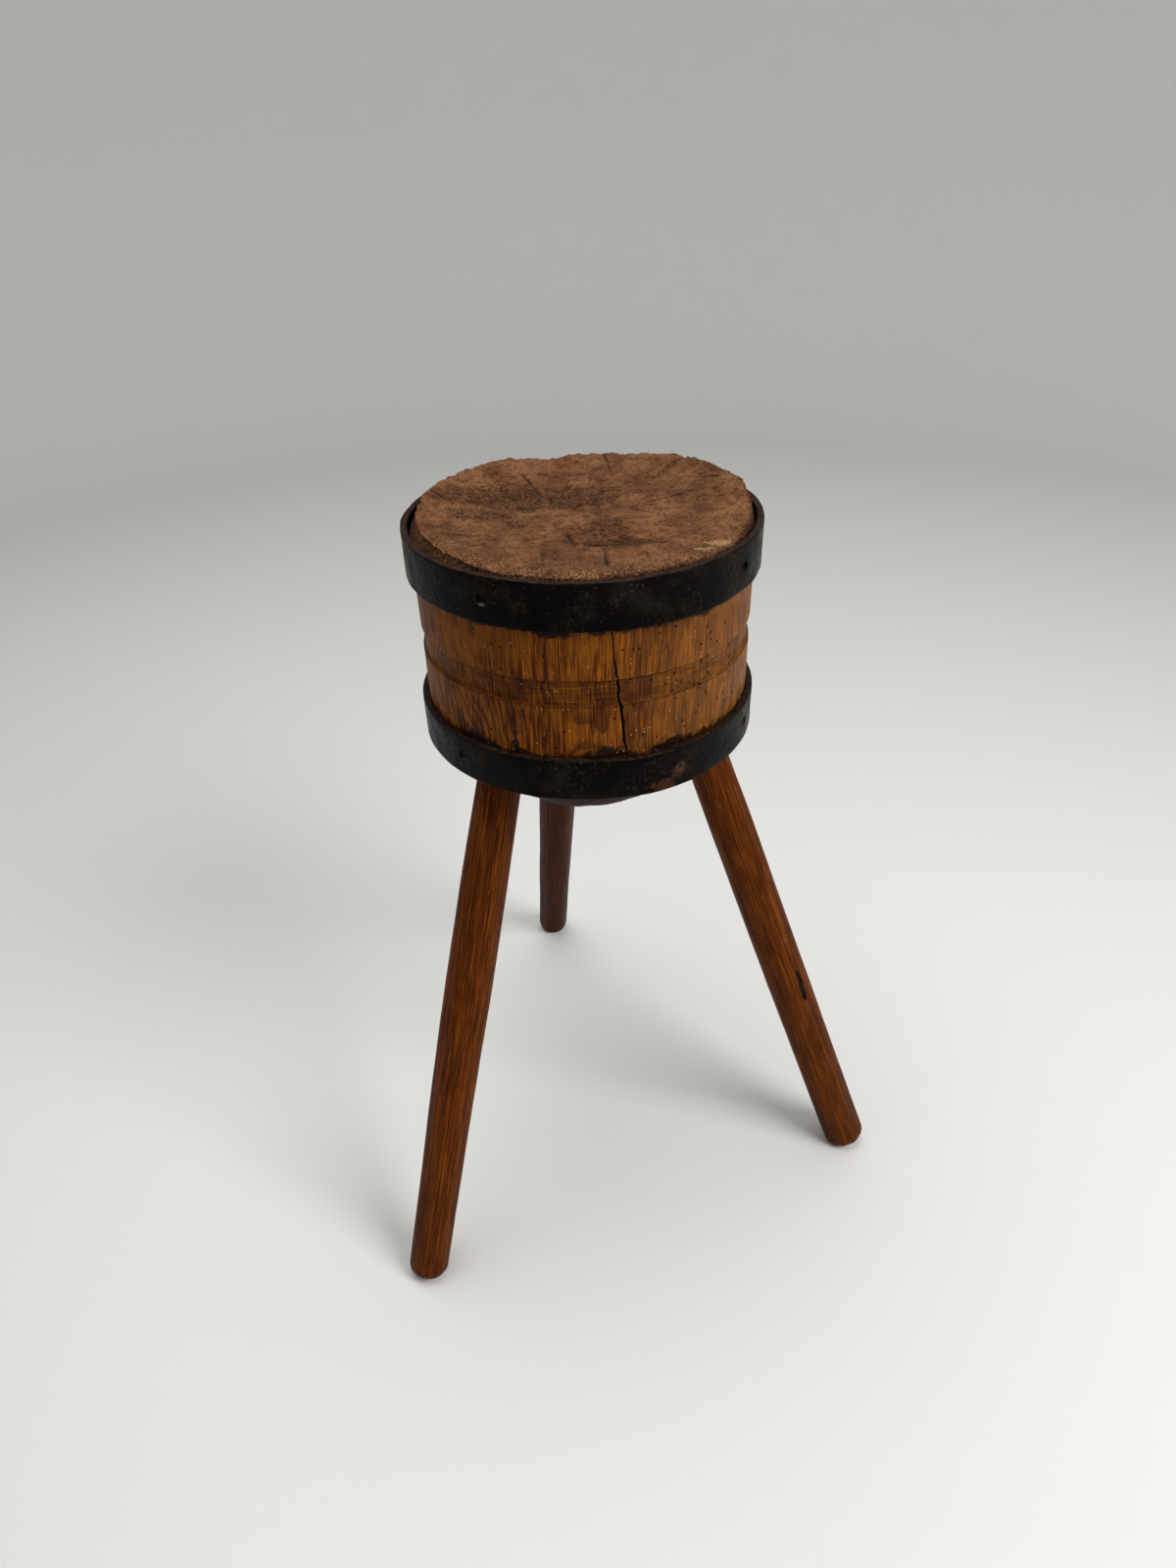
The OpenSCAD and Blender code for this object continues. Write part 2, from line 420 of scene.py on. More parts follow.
def makeSpotGroup():  # a soft ragged patch round a point
    tree, given, out = newGroup("softSpot", [
        ("Vector", "Vector", (0, 0, 0)), ("Centre", "Vector", (0, 0, 0)),
        ("Size", "Vector", (0.01, 0.01, 0.01)), ("Ragged", "Float", 0.5),
    ], [("Mask", "Float")])
    off = vectorNode(tree, "SUBTRACT", given["Vector"], given["Centre"])
    off = vectorNode(tree, "DIVIDE", off, given["Size"])
    rough = mathNode(tree, "SUBTRACT", noiseNode(tree, given["Vector"], 160.0, 4.0, 0.6), 0.5)
    far = timesPlus(tree, rough, given["Ragged"], vectorNode(tree, "LENGTH", off))
    tree.links.new(rangeNode(tree, far, 0.6, 1.1, 1.0, 0.0), out["Mask"])
    return tree


def makeCutGroup():  # a fine ragged cut or check between two points
    tree, given, out = newGroup("fineCut", [
        ("Vector", "Vector", (0, 0, 0)), ("Start", "Vector", (0, 0, 0)), ("End", "Vector", (0.01, 0, 0)),
        ("Width", "Float", 0.001),
    ], [("Mask", "Float")])
    shake = swayNode(tree, given["Vector"], 110.0, 4.0)
    flat = vectorNode(tree, "ADD", given["Vector"], scaled(tree, shake, (0.006, 0.006, 0)))
    flat = scaled(tree, flat, (1, 1, 0))
    run = vectorNode(tree, "SUBTRACT", given["End"], given["Start"])
    off = vectorNode(tree, "SUBTRACT", flat, given["Start"])
    length = vectorNode(tree, "DOT_PRODUCT", run, run)
    t = mathNode(tree, "DIVIDE", vectorNode(tree, "DOT_PRODUCT", off, run), length, clamp=True)
    share = addNode(tree, "ShaderNodeCombineXYZ", {"X": t, "Y": t, "Z": t}).outputs[0]
    near = vectorNode(tree, "SUBTRACT", off, scaled(tree, run, share))
    taper = times(tree, mathNode(tree, "SUBTRACT", 1.15, t), given["Width"])
    far = mathNode(tree, "DIVIDE", vectorNode(tree, "LENGTH", near), taper)
    tree.links.new(rangeNode(tree, far, 0.3, 1.0, 1.0, 0.0), out["Mask"])
    return tree


woodGrain = makeGrainGroup()
scatteredHoles = makeHolesGroup()
softSpot = makeSpotGroup()
fineCut = makeCutGroup()
print("effects ready")


block = {
    "footRadius": 141.8,  # under the lower hoop
    "taper": 2.5,  # more, up to the upper hoop's upper edge
    "cells": 192,  # across the face; the side has four times as many
    "footRings": 7,
    "bandLow": underside + 89,  # the turned band round the middle
    "bandHigh": underside + 111,
    "bandDepth": 2.0,
    "rimDrop": 14,  # how far down inside the hoop the rim's own rows reach
    "noiseRadius": 140,  # unit coordinates to mm, for its lumps
    "chopReach": 128,
    "sideFrom": 136,  # faces further out than this are the varnished side
    "centre": -1.0,  # the middle of the worn face, over the upper hoop
    "rim": [  # (azimuth, height of the rim over the upper hoop)
        (-180, 9), (-165, 7), (-152, 4.8), (-138, 4.2), (-128, 2.4), (-114, 1.2), (-90, 1.1), (-76, 0.4),
        (-64, 1.3), (-48, 0.2), (-30, 0.2), (-18, 1.5), (-8, 5.5), (2, 10), (14, 15.5), (24, 13.8),
        (34, 14.4), (50, 14.2), (60, 11.2), (72, 8.3), (88, 7.8), (94, 7.4), (99, 5.2), (105, 5.7),
        (112, 8.8), (120, 11), (126, 12), (136, 10.8), (152, 12), (165, 11.5), (180, 9),
    ],
    "rimRadius": [  # how far out the worn edge stands
        (-180, 136.5), (-160, 136.5), (-140, 137.5), (-115, 139), (-90, 140), (-60, 140.6), (-30, 141),
        (0, 140), (30, 139), (90, 139.5), (130, 138.5), (155, 137.5), (180, 136.5),
    ],
    "hollows": [  # (x, y, half width, half depth, how deep)
        (-62, 34, 46, 34, 4.5), (-12, 30, 60, 24, 2.2), (18, -58, 48, 26, 3.4), (62, -10, 40, 26, 1.2),
        (-104, -18, 26, 22, 1.4), (60, 66, 30, 22, 1.5),
    ],
    "broken": [(-62, 36, 44, 34), (-4, 40, 40, 26), (22, -40, 34, 26)],
    "cuts": [  # (x, y, x, y, width, depth) of the checks and chops that stand out
        (100, 107, 64, 70, 2.2, 2.4), (-52, 88, -36, 52, 1.5, 1.5), (-132, 42, -108, 18, 2.0, 1.8),
        (94, 27, 50, 17, 1.6, 1.6), (23, 132, 28, 92, 1.5, 1.3), (6, -66, 34, -68, 1.8, 1.8),
        (66, -70, 38, -66, 1.6, 1.5), (18, -118, 16, -76, 1.6, 1.6), (96, -108, 72, -76, 1.5, 1.4),
        (-70, 20, -34, 26, 1.8, 1.6), (-20, -32, 18, -38, 1.6, 1.4), (118, 48, 84, 62, 1.4, 1.2),
        (-118, 74, -82, 52, 1.5, 1.3), (-12, -44, -2, -84, 1.3, 1.2), (40, 10, 70, -14, 1.4, 1.2),
    ],
    "chops": 90,  # lesser chop marks, scattered
    "crack": [  # (height, azimuth, width) up the drying crack
        (lowerTop - 8, -77.8, 1.8), (lowerTop + 4, -78.0, 2.2), (upperBottom - 100, -78.6, 2.6),
        (upperBottom - 88, -78.9, 3.0), (upperBottom - 74, -79.4, 3.2), (upperBottom - 60, -80.2, 2.4),
        (upperBottom - 52, -80.1, 3.0), (upperBottom - 40, -80.8, 2.0), (upperBottom - 26, -81.6, 1.6),
        (upperBottom - 10, -81.9, 1.2), (upperBottom + 6, -82.4, 1.1),
    ],
    "hairCrack": [  # a second, finer one on the left
        (upperBottom - 66, -148.6, 0.4), (upperBottom - 58, -149.5, 0.9),
        (upperBottom - 44, -152.0, 1.2), (upperBottom - 26, -155.0, 1.3),
        (upperBottom - 12, -157.2, 1.0), (upperBottom + 4, -158.5, 0.8),
    ],
    "crackDepth": 38,
    "hairDepth": 14,
    "socketRadius": 19.2,
    "socketDepth": 80,
}


def rowHeights():  # the side's rows, from the rim down: ("rim", share of its drop), or a height
    high, low = block["bandHigh"], block["bandLow"]

    def evenly(a, b, steps):
        return [mix(a, b, i / steps) for i in range(1, steps + 1)]

    rows = [("rim", share) for share in (0.08, 0.18, 0.3, 0.45, 0.62, 0.8, 1.0)]
    rows += evenly(upperTop - block["rimDrop"], upperBottom + 5, 2)
    rows += evenly(upperBottom + 5, high + 0.6, 16)
    rows += [high - 0.5, high - 2.2] + evenly(high - 2.2, low + 2.4, 6) + [low + 0.8, low - 0.2]
    rows += evenly(low - 0.2, lowerTop - 5, 14)
    rows += evenly(lowerTop - 5, lowerBottom + 3, 2) + [underside + 4, underside + 1.6, underside]
    return rows


def makeChops(count):  # noise on a step pattern, so that every run scatters them alike
    marks = []
    for i in range(count):
        spread = [noise.cell(Vector((i + 0.5, row + 0.5, 0.5))) for row in range(5)]
        far = block["chopReach"] * math.sqrt(abs(spread[0]))
        turn = 2 * math.pi * spread[1]
        heading = 0.5 * spread[2] + (turn if i % 5 == 0 else 0)
        length = 4 + 10 * abs(spread[3])
        x, y = far * math.cos(turn), far * math.sin(turn)
        dx, dy = length * math.cos(heading), length * math.sin(heading)
        marks.append((x - dx, y - dy, x + dx, y + dy, 1.7, 0.5 + 0.9 * abs(spread[4])))
    return marks


def cutDepth(x, y, marks):  # how deep the deepest cut is at a point, 0 away from cuts
    deepest = 0.0
    for ax, ay, bx, by, width, depth in marks:
        if x < min(ax, bx) - width or x > max(ax, bx) + width:
            continue
        if y < min(ay, by) - width or y > max(ay, by) + width:
            continue
        dx, dy = bx - ax, by - ay
        t = min(max(((x - ax) * dx + (y - ay) * dy) / (dx * dx + dy * dy), 0.0), 1.0)
        away = math.hypot(x - ax - t * dx, y - ay - t * dy)
        if away < width:
            deepest = max(deepest, depth * (1 - away / width) * (1.1 - 0.5 * t))
    return deepest


def bells(x, y, patches):  # how far inside each oval patch a point is, 1 at its middle
    return [math.exp(-((x - px) / wide) ** 2 - ((y - py) / deep) ** 2) for px, py, wide, deep in patches]


def facePoint(ux, uy, marks):  # a point of the unit disc, on the worn face, and its wear, 0..1
    rho = math.hypot(ux, uy)
    azimuth = azimuthOf(ux, uy)
    edge = around(block["rimRadius"], azimuth)
    torn = smoothstep(0.93, 1.0, rho)
    nx, ny = ux * block["noiseRadius"], uy * block["noiseRadius"]
    edge += torn * (1.4 * lumps(nx, ny, 0, 7, 3.0) + 1.3 * lumps(nx, ny, 0, 3.0, 5.0))
    x, y = ux * edge, uy * edge
    z = mix(block["centre"], around(block["rim"], azimuth), rho ** 2.3)
    for hollow, inside in zip(block["hollows"], bells(x, y, [h[:4] for h in block["hollows"]])):
        z -= hollow[4] * inside
    coarse = fractal(x, y, 26, 1.0)
    middle = fractal(x, y, 8, 2.0)
    fine = lumps(x, y, 0, 2.9, 7.0)
    crumbly = max(bells(x, y, block["broken"]))  # broken, fibrous wood in the hollow
    cut = cutDepth(x, y, marks)
    z += 0.8 * coarse + (0.6 + 0.9 * crumbly) * middle + (0.4 + 0.5 * crumbly + 0.5 * torn) * fine - cut
    drop = smoothstep(0.955, 1.0, rho)  # the edge is worn round, and crumbled in places
    bites = 2.6 * drop * max(lumps(x, y, 0, 12, 4.0) - 0.2, 0)
    z -= drop * (1.5 + 1.2 * lumps(x, y, 0, 9, 11.0)) + bites
    wear = 0.5 + 0.33 * middle + 0.3 * fine - 0.5 * cut
    return (x, y, upperTop + z), min(max(wear, 0.0), 1.0)


def sidePoint(ux, uy, row):  # a point of the unit rim, on one of the side's rows
    azimuth = azimuthOf(ux, uy)
    if isinstance(row, tuple):  # the rim, from the worn edge down inside the hoop
        (x, y, top), wear = facePoint(ux, uy, [])
        share = row[1]
        foot = upperTop - block["rimDrop"]
        z = mix(top, foot, share)
        radius = mix(math.hypot(x, y), sideRadius(foot), smoothstep(0.12, 0.85, share))
        wide = block["noiseRadius"]
        radius += (1 - share) * share * 2.5 * lumps(ux * wide, uy * wide, z, 6, 8.0)
        return ux * radius, uy * radius, z
    z = row
    radius = sideRadius(z)
    x, y = ux * radius, uy * radius
    if upperBottom + 6 > z > lowerTop - 6:
        bare = smoothstep(0, 5, upperBottom - z) * smoothstep(0, 5, z - lowerTop)
        waves = 0.45 * lumps(x, y, z * 0.5, 34, 2.0) + 0.16 * lumps(x, y, z * 0.12, 6, 4.0)
        radius += bare * (waves - 0.25)
        if block["bandLow"] < z < block["bandHigh"]:
            radius -= block["bandDepth"] + 0.25 * lumps(x, y, z, 16, 6.0)
    elif z < lowerBottom:
        shoulder = 1 - (z - underside) / (lowerBottom - underside)
        front = math.exp(-(wrap(azimuth + 92) / 26) ** 2)  # the sawn end hangs lowest at the front
        radius -= shoulder ** 2 * mix(8.0, 3.0, front) + shoulder * 1.3 * lumps(x, y, 0, 12, 9.0)
        z += shoulder * (mix(1.5, -6.5, front) + 1.6 * lumps(x, y, 0, 16, 12.0))
    return ux * radius, uy * radius, z


def footPoint(ux, uy):  # the rough underside
    rho = math.hypot(ux, uy)
    ex, ey, ez = sidePoint(ux / rho, uy / rho, underside) if rho > 0 else (0, 0, underside)
    x, y = ex * rho, ey * rho
    z = mix(underside - 2, ez, rho ** 3) + 0.8 * fractal(x, y, 22, 13.0) * (1 - rho ** 6)
    return x, y, z


def makeBlock():
    cells, rings = block["cells"], block["footRings"]
    deselectAll()
    bpy.ops.mesh.primitive_grid_add(x_subdivisions=cells, y_subdivisions=cells, size=2)
    piece = newPiece("choppingBlock")
    for v in piece.data.vertices:  # the square becomes a disc
        x, y = v.co.x, v.co.y
        v.co.x, v.co.y = x * math.sqrt(1 - y * y / 2), y * math.sqrt(1 - x * x / 2)
    rows = rowHeights()
    pickEdges(piece, lambda a, b: a.length > 0.99999 and b.length > 0.99999)
    for row in rows:
        extrudeDown(1)
    share = 1.0
    for ring in range(rings):
        smaller = 1 - (ring + 1) / (rings + 1)
        extrudeDown(1, smaller / share)
        share = smaller
    extrudeDown(1)
    bpy.ops.mesh.merge(type="CENTER")
    objectMode()

    marks = block["cuts"] + makeChops(block["chops"])
    wearOf = []
    for v in piece.data.vertices:
        level = round(-v.co.z)
        wear = 0.5
        if level == 0:
            v.co, wear = facePoint(v.co.x, v.co.y, marks)
        elif level <= len(rows):
            v.co = sidePoint(v.co.x, v.co.y, rows[level - 1])
        else:
            v.co = footPoint(v.co.x, v.co.y)
        wearOf.append(wear)
    attribute = piece.data.attributes.new("wear", "FLOAT", "POINT")
    attribute.data.foreach_set("value", wearOf)
    for material in ("face", "side", "raw"):
        piece.data.materials.append(bpy.data.materials.new(material))
    for face in piece.data.polygons:
        middle = face.center
        if middle.z > upperTop - 12:
            face.material_index = 0
        else:
            out = math.hypot(middle.x, middle.y) > block["sideFrom"]
            face.material_index = 1 if out and middle.z > underside + 3 else 2
    fixNormals(piece)
    return piece


def makeWedge(path, outer, depth):  # a cutter for a crack: a thin wedge along its path
    piece = makeTube("crackCutter", 3, 40)
    azimuths = [(z, azimuth) for z, azimuth, width in path]
    widths = [(z, width) for z, azimuth, width in path]
    for v in piece.data.vertices:
        z = mix(path[0][0], path[-1][0], v.co.z + 0.5)
        jag = 0.35 * lumps(0, 0, z, 5, 1.0) + 0.2 * lumps(0, 0, z, 2.2, 2.0)
        width = around(widths, z) * (1 + 0.5 * lumps(0, 0, z, 4, 3.0))
        corner = round(azimuthOf(v.co.x, v.co.y) / 120)
        centre = onSide(around(azimuths, z) + jag, outer if corner else outer - depth, z)
        across = Vector((-centre.y, centre.x, 0)).normalized()
        v.co = centre + across * corner * width / 2
    fixNormals(piece)
    return piece


def makeRod(start, end, radius):  # a plain round cutter
    deselectAll()
    run = end - start
    bpy.ops.mesh.primitive_cylinder_add(vertices=64, radius=radius, depth=run.length)
    piece = newPiece("rodCutter")
    piece.data.transform(aimed((start + end) / 2, run))
    return piece


def cutterMaterial(piece, index, slots=("face", "side", "raw")):  # cut faces take this slot of the piece
    for material in slots:
        piece.data.materials.append(bpy.data.materials.get(material))
    for face in piece.data.polygons:
        face.material_index = index


hoops = {
    "thick": 6.0,
    "ease": 1.3,  # how far the edges are worn round
    "columns": 480,
    "hammer": 0.35,  # how far the smith's blows stand proud or low
    "lapStep": 1.6,
    "lapRun": 23,  # degrees
    "nailHole": 2.7,
    "holeMouth": 4.8,
    "mouthDepth": 3.0,
    "spinRadius": 150.0,  # where the strip's section is spun, before it is shaped
    "noiseRadius": 148,
    "upper": {"node": "upper_hoop", "low": upperBottom, "high": upperTop, "lap": 122, "lean": 0.0,
              "holes": (-121, 149, 57, -33), "rivet": 117.5, "seed": 1.0},
    "lower": {"node": "lower_hoop", "low": lowerBottom, "high": lowerTop, "lap": -56.5, "lean": 2.8,
              "holes": (-136, 98, -24), "rivet": -60.7, "seed": 5.0},
}


def hoopMiddle(spec):
    return (spec["low"] + spec["high"]) / 2


def hoopFace(spec, azimuth, z):  # the radius of a hoop's outer face
    share = (z - spec["low"]) / (spec["high"] - spec["low"])
    (x, y), seed = onCircle(azimuth, hoops["noiseRadius"]), spec["seed"]
    radius = sideRadius(z) + 0.1 + hoops["thick"]
    radius += hoops["hammer"] * (lumps(x, y, z, 24, seed) + 0.35 * lumps(x, y, z, 7, seed + 3))
    radius -= 0.25 * smoothstep(0.3, 0.8, lumps(x, y, z, 12, seed + 6))
    behind = wrap(azimuth - spec["lap"] - spec["lean"] * (0.5 - share))
    if -hoops["lapRun"] - 6 < behind < 0:
        radius += hoops["lapStep"] * smoothstep(-hoops["lapRun"] - 6, -hoops["lapRun"] + 8, behind)
    return radius


def makeCountersink(spec, azimuth, z):  # the cutter for a nail hole with a flared mouth
    outer, deep = hoopFace(spec, azimuth, z), hoops["mouthDepth"]
    cutter = makeRod(onSide(0, outer - 12, z), onSide(0, outer + 2, z), hoops["nailHole"])
    pickEdges(cutter, lambda a, b: abs(a.x - b.x) > 5)
    bpy.ops.mesh.subdivide(number_cuts=1)
    objectMode()
    for v in cutter.data.vertices:
        if abs(v.co.x - outer + 5) < 1:  # the middle ring is where the flare starts
            v.co.x = outer - deep
        elif v.co.x > outer:
            flare = mix(hoops["nailHole"], hoops["holeMouth"], (v.co.x - outer + deep) / deep)
            v.co.y *= flare / hoops["nailHole"]
            v.co.z = z + (v.co.z - z) * flare / hoops["nailHole"]
    cutter.data.transform(Matrix.Rotation(math.radians(azimuth), 4, "Z"))
    return cutter


def makeHoop(name, spec):
    low, high, thick = spec["low"], spec["high"], hoops["thick"]
    start, mid = hoops["spinRadius"], hoopMiddle(spec)
    deselectAll()
    bpy.ops.mesh.primitive_plane_add(size=1, location=(start, 0, mid), rotation=(math.pi / 2, 0, 0))
    piece = newPiece(name)
    bpy.ops.object.transform_apply(location=False, rotation=True, scale=False)
    editMode()
    selectMesh("SELECT")
    bpy.ops.transform.resize(value=(thick, 1, high - low), center_override=(start, 0, mid))
    bpy.ops.mesh.bevel(offset=hoops["ease"], offset_pct=0, segments=4, affect="VERTICES")
    selectMesh("SELECT")
    bpy.ops.mesh.delete(type="ONLY_FACE")  # the outline alone is spun
    pickEdges(piece, lambda a, b: abs(a.z - b.z) > 20)
    bpy.ops.mesh.subdivide(number_cuts=15)
    pickEdges(piece, lambda a, b: abs(a.x - b.x) > 2.5)
    bpy.ops.mesh.subdivide(number_cuts=4)
    objectMode()
    piece.data.transform(Matrix.Translation((start, 0, mid)))
    piece.location = (0, 0, 0)
    editMode()
    selectMesh("SELECT")
    bpy.ops.mesh.spin(steps=hoops["columns"], angle=2 * math.pi, center=(0, 0, 0), axis=(0, 0, 1))
    objectMode()
    fixNormals(piece, 0.02)
    for v in piece.data.vertices:
        azimuth = azimuthOf(v.co.x, v.co.y)
        inward = math.hypot(v.co.x, v.co.y) - start  # -3 inside, 3 on the outer face
        away = wrap(azimuth - spec["lap"])
        if abs(away) < 4:  # columns crowd up to the lap's end, so that it is crisp
            away *= (abs(away) / 4) ** 1.5
        share = (v.co.z - low) / (high - low)
        away += spec["lean"] * (0.5 - share) * math.exp(-(away / 14) ** 2)
        azimuth = spec["lap"] + away
        z = v.co.z
        face = hoopFace(spec, azimuth, z)
        inner = sideRadius(z) + 0.1
        t = (inward + thick / 2) / thick
        x, y = onCircle(azimuth, hoops["noiseRadius"])
        edge = smoothstep(0.78, 1.0, abs(share - 0.5) * 2)
        at = share * 9
        waves = 0.55 * lumps(x, y, at, 26, spec["seed"] + 2) + 0.2 * lumps(x, y, at, 6, 4.0)
        z = min(max(z + edge * waves, low), high)
        v.co = onSide(azimuth, mix(inner, face, t), z)
    cutAway(piece, [makeCountersink(spec, azimuth, mid) for azimuth in spec["holes"]])
    return piece


poles = {
    "sides": 80,
    "rows": 210,
    "roundFoot": 10,
    "inSocket": 19.0,
    "socketDepth": 78,
    "legs": {  # knots are (towards, height, size, lift)
        "leg_front_left": {
            "piece": "poleFrontLeft", "mount": "foot_front_left", "belly": 22, "foot": 19.5, "seed": 2.0,
            "knots": [((-0.03, -0.96, 0.28), 408, 8, 1.0), ((0.78, -0.63, 0.02), 355, 8, 1.1),
                      ((-0.5, -0.8, 0.33), 208, 9, -0.9)],
        },
        "leg_right": {
            "piece": "poleRight", "mount": "foot_right", "belly": 21.2, "foot": 21.6, "seed": 7.0,
            "knots": [((-0.14, -0.99, 0.04), 396, 6, 1.3), ((-0.74, -0.65, -0.19), 457, 9, 1.1)],
            "slot": [((0.52, -0.8, 0.29), 264), ((0.44, -0.86, 0.28), 224)],
        },
        "leg_back": {
            "piece": "poleBack", "mount": "foot_back", "belly": 21.2, "foot": 18.6, "seed": 12.0,
            "knots": [((0.3, -0.95, 0.0), 300, 9, 1.0)],
        },
    },
}


def poleAxis(node):  # where a leg's axis has its foot, about the block's axis, and its run
    name = poles["legs"][node]["mount"]
    mount = next(m for m in frame["record"]["mounts"] if m["name"] == name)
    foot = Vector(mount["pos_m"]) / mm - axis / mm
    cad = frame["nodes"][node]
    points = [cad.matrix_world @ v.co / mm - axis / mm for v in cad.data.vertices]
    highest = max(p.z for p in points)
    top = [p for p in points if p.z > highest - 25]
    middle = Vector((0, 0, 0))
    for p in top:
        middle += p / len(top)
    return foot, (middle - foot).normalized()


def makeSlotCutter(spec, toBlock):  # a cutter for a long hole that opens on the pole's surface
    piece = makeTube("slotCutter", 12, 20)
    (first, high), (last, low) = spec["slot"]
    turnBack = toBlock.to_3x3().inverted()
    for v in piece.data.vertices:
        share = v.co.z + 0.5
        h = mix(low, high, share)
        out = turnBack @ Vector(last).lerp(Vector(first), share)
        out = Vector((out.x, out.y, 0)).normalized()
        across = Vector((-out.y, out.x, 0))
        size = math.sqrt(math.sin(math.pi * mix(0.04, 0.96, share)))
        size = 0.35 + size * (1 + 0.5 * lumps(0, 0, h, 9, 4.0))
        aside = 1.1 * lumps(0, 0, h, 7, 8.0) + 2.3 * size * v.co.y
        v.co = out * (spec["belly"] + 4.6 * v.co.x) + across * aside + Vector((0, 0, h))
    fixNormals(piece)
    cutterMaterial(piece, 1, ("side", "raw"))
    return piece


def makePole(node):
    spec = poles["legs"][node]
    foot, along = poleAxis(node)
    run = (underside - foot.z) / along.z
    length = run + poles["socketDepth"]
    piece = makeTube(spec["piece"], poles["sides"], poles["rows"])
    seed = spec["seed"]
    toBlock = aimed(foot, along)
    heel, belly, inSocket = spec["foot"], spec["belly"], poles["inSocket"]
    girth = [(0, heel), (run * 0.1, mix(heel, belly, 0.12)), (run * 0.35, mix(heel, belly, 0.5)),
             (run * 0.6, belly), (run * 0.75, belly - 0.5),
             (run - 14, inSocket + 0.7), (run + 4, inSocket)]
    edge, lean = poles["roundFoot"], math.acos(along.z)
    end = ((edge - 1.0) + (heel - edge) * math.sin(lean)) / math.cos(lean) - edge
    knots = []  # (height, azimuth, size, lift), turned to the pole's own axes
    for towards, at, size, lift in spec["knots"]:
        own = toBlock.to_3x3().inverted() @ Vector(towards)
        knots.append((at, azimuthOf(own.x, own.y), size, lift))
    for v in piece.data.vertices:
        share = v.co.z + 0.5
        h = mix(end, length, share ** 1.6)  # rows stand closer at the foot
        turn = math.atan2(v.co.y, v.co.x)
        c, s = math.cos(turn), math.sin(turn)
        shown = 1 - smoothstep(run - 22, run - 2, h)
        radius = around(girth, h)
        flats = 6 + 2 * math.floor(seed) % 3
        facet = math.cos(flats * turn + 1.5 * lumps(0, 0, h, 160, seed))
        radius += shown * (0.2 * facet + 0.5 * lumps(c * 2, s * 2, h / 90, 1.0, seed))
        radius += shown * 0.22 * lumps(c * 9, s * 9, h / 30, 1.0, seed + 2)
        for at, azimuth, size, lift in knots:
            side = math.radians(wrap(math.degrees(turn) - azimuth)) * belly
            radius += lift * math.exp(-((h - at) / (size * 1.6)) ** 2 - (side / size) ** 2)
        if h < end + edge:  # the foot is worn round, and rests on its inner side
            radius -= edge * (1 - math.sqrt(max(1 - ((end + edge - h) / edge) ** 2, 0.0)))
        bend = shown * 1.4 * math.sin(math.pi * min(max(h / run, 0), 1)) * math.sin(seed)
        v.co = Vector((radius * c + bend, radius * s, h))
    if "slot" in spec:
        cutterMaterial(piece, 0, ("side", "raw"))
        fixNormals(piece)
        cutAway(piece, [makeSlotCutter(spec, toBlock)])
    piece.data.transform(toBlock)
    makeActive(piece)
    editMode()
    selectMesh("SELECT")
    bpy.ops.mesh.bisect(plane_co=(0, 0, 0), plane_no=(0, 0, 1), clear_inner=True, use_fill=True)
    objectMode()
    fixNormals(piece)
    back = toBlock.inverted()
    upright = []
    for v in piece.data.vertices:  # the pole's own upright coordinates, in metres, for its grain
        upright.extend(back @ v.co * mm)
    attribute = piece.data.attributes.new("poleSpace", "FLOAT_VECTOR", "POINT")
    attribute.data.foreach_set("vector", upright)
    return piece


nails = {
    "length": 26,
    "shank": 2.2,
    "head": 3.9,
    "sink": 1.4,  # how deep the head sits under the hoop's face
    "each": {  # (name, hoop, azimuth, seed)
        "upper_nail_left": ("nailUpperLeft", "upper", -121, 1.0),
        "upper_nail_back_left": ("nailUpperBackLeft", "upper", 149, 2.0),
        "upper_nail_back_right": ("nailUpperBackRight", "upper", 57, 3.0),
        "lower_nail_left": ("nailLowerLeft", "lower", -136, 4.0),
        "lower_nail_back": ("nailLowerBack", "lower", 98, 5.0),
    },
    "lost": (("upper", -33), ("lower", -24)),  # the two holes whose nails are gone
}


def makeNail(name, hoop, azimuth, seed):  # head first: it points along -X from the hoop's face
    deselectAll()
    bpy.ops.mesh.primitive_cylinder_add(vertices=24, radius=nails["head"], depth=1.0)
    piece = newPiece(name)
    pickFaces(piece, lambda face: face.normal.z < -0.9)
    steps = [(1.2, nails["shank"] / nails["head"]), (nails["length"] - 11, 0.9), (9, 0.15)]
    depth = -0.5
    for down, scale in steps:
        depth -= down
        extrudeDown(down, scale, depth)
    pickFaces(piece, lambda face: face.normal.z > 0.9)
    for lift, inset in ((0.35, 0.9), (0.25, 1.1), (0.12, 1.0)):  # a low faceted crown
        bpy.ops.mesh.inset(thickness=inset, depth=lift)
    objectMode()
    for v in piece.data.vertices:
        if v.co.z > -0.6:
            v.co.z += 0.28 * lumps(v.co.x, v.co.y, 0, 2.2, seed)
            v.co.x *= 1 + 0.08 * lumps(v.co.x, v.co.y, 4, 5, seed)
    spec = hoops[hoop]
    mid = hoopMiddle(spec)
    outer = hoopFace(spec, azimuth, mid) - nails["sink"] - 0.9
    piece.data.transform(aimed(onSide(azimuth, outer, mid), onSide(azimuth, 1, 0)))
    fixNormals(piece)
    return piece


rivets = {
    "shank": 3.2,
    "head": 5.1,
    "lift": 1.3,
    "each": {  # (name, hoop, seed)
        "upper_hoop_rivet": ("rivetUpper", "upper", 3.0),
        "lower_hoop_rivet": ("rivetLower", "lower", 6.0),
    },
}


